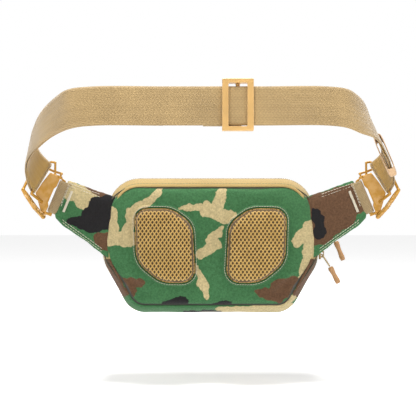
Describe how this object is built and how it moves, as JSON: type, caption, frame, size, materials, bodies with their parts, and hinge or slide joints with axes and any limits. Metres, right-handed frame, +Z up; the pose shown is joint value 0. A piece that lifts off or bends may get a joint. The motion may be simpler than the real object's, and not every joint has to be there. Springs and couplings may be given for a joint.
{
  "type": "sling bag",
  "caption": "Hip and sling bag in camouflage cloth, with lumbar pads on the wearer's side, side wings, adjuster buckles and a webbing strap looped forward.",
  "frame": {"origin": "middle of the flat base, at mid depth of the bag body", "axes": "+Z up, +X to the right when facing the lumbar pads, -Y towards the wearer"},
  "size_m": [0.4125, 0.2126, 0.2434],
  "materials": {
    "camo": "woven, matt",
    "zipper_tape": "woven, matt",
    "zipper_coil": "satin",
    "lining": "woven, matt",
    "foam": "matt",
    "spacer_mesh": "open knit, matt",
    "webbing": "ribbed weave, low sheen",
    "elastic": "ribbed, low sheen",
    "pull_cord": "braided",
    "pull_grip": "moulded, satin",
    "coated_metal": "satin coating",
    "slider_metal": "satin coating"
  },
  "bodies": {
    "bag_back": {"back_panel": "camo", "back_foam": "foam", "back_lining": "lining", "lower_gusset": "camo", "main_zipper_rear_tape": "zipper_tape", "main_zipper_rear_coil": "zipper_coil", "left_pad_border": "camo", "left_pad_foam": "foam", "left_pad_mesh": "spacer_mesh", "right_pad_border": "camo", "right_pad_foam": "foam", "right_pad_mesh": "spacer_mesh", "left_wing": "camo", "left_wing_loop": "webbing", "left_buckle_body": "coated_metal", "right_wing": "camo", "right_wing_loop": "webbing", "right_buckle_body": "coated_metal", "strap_webbing": "webbing", "strap_return": "webbing", "strap_tail": "webbing"},
    "bag_front": {"main_zipper_front_tape": "zipper_tape", "main_zipper_front_coil": "zipper_coil", "middle_gusset": "camo", "pocket_zipper_rear_tape": "zipper_tape", "pocket_zipper_rear_coil": "zipper_coil", "pocket_divider": "lining"},
    "pocket_front": {"pocket_zipper_front_tape": "zipper_tape", "pocket_zipper_front_coil": "zipper_coil", "pocket_gusset": "camo", "front_panel": "camo"},
    "main_slider": {"main_slider": "slider_metal"},
    "main_pull": {"main_pull_cord": "pull_cord", "main_pull_grip": "pull_grip"},
    "pocket_slider": {"pocket_slider": "slider_metal"},
    "pocket_pull": {"pocket_pull_cord": "pull_cord", "pocket_pull_grip": "pull_grip"},
    "tri_glide": {"tri_glide": "coated_metal", "strap_end_wrap": "webbing"},
    "strap_keeper": {"strap_keeper": "elastic"},
    "left_bail": {"left_buckle_bail": "coated_metal"},
    "right_bail": {"right_buckle_bail": "coated_metal"}
  },
  "joints": [
    {"name": "main_opening", "type": "hinge", "parent": "bag_back", "child": "bag_front", "pos_m": [0, 0.0302, 0.005], "axis": [-1, 0, 0], "range_deg": [0, 25]},
    {"name": "pocket_opening", "type": "hinge", "parent": "bag_front", "child": "pocket_front", "pos_m": [0, 0.0302, 0.005], "axis": [-1, 0, 0], "range_deg": [0, 10]},
    {"name": "main_slider_travel", "type": "slide", "parent": "bag_back", "child": "main_slider", "axis": [0, 0, 1], "range_m": [0, 0.04]},
    {"name": "pocket_slider_travel", "type": "slide", "parent": "bag_front", "child": "pocket_slider", "axis": [0, 0, 1], "range_m": [0, 0.022]},
    {"name": "main_pull_swing", "type": "hinge", "parent": "main_slider", "child": "main_pull", "pos_m": [0.1264, -0.0105, 0.0654], "axis": [0, 1, 0], "range_deg": [-70, 12], "stiffness_Nm_per_rad": 0.01},
    {"name": "pocket_pull_swing", "type": "hinge", "parent": "pocket_slider", "child": "pocket_pull", "pos_m": [0.1257, 0.0166, 0.0894], "axis": [0, 1, 0], "range_deg": [-60, 15], "stiffness_Nm_per_rad": 0.01},
    {"name": "tri_glide_travel", "type": "slide", "parent": "bag_back", "child": "tri_glide", "axis": [1, 0, 0], "range_m": [-0.02, 0.045]},
    {"name": "keeper_travel", "type": "slide", "parent": "bag_back", "child": "strap_keeper", "axis": [-0.4208, -0.6612, 0.6211], "range_m": [-0.003, 0.003]},
    {"name": "left_bail_swing", "type": "hinge", "parent": "bag_back", "child": "left_bail", "pos_m": [-0.175, -0.0394, 0.13245], "axis": [-0.3907, 0, -0.9205], "range_deg": [0, 30], "stiffness_Nm_per_rad": 0.05},
    {"name": "right_bail_swing", "type": "hinge", "parent": "bag_back", "child": "right_bail", "pos_m": [0.175, -0.0394, 0.13245], "axis": [-0.3907, 0, 0.9205], "range_deg": [0, 30], "stiffness_Nm_per_rad": 0.05}
  ]
}
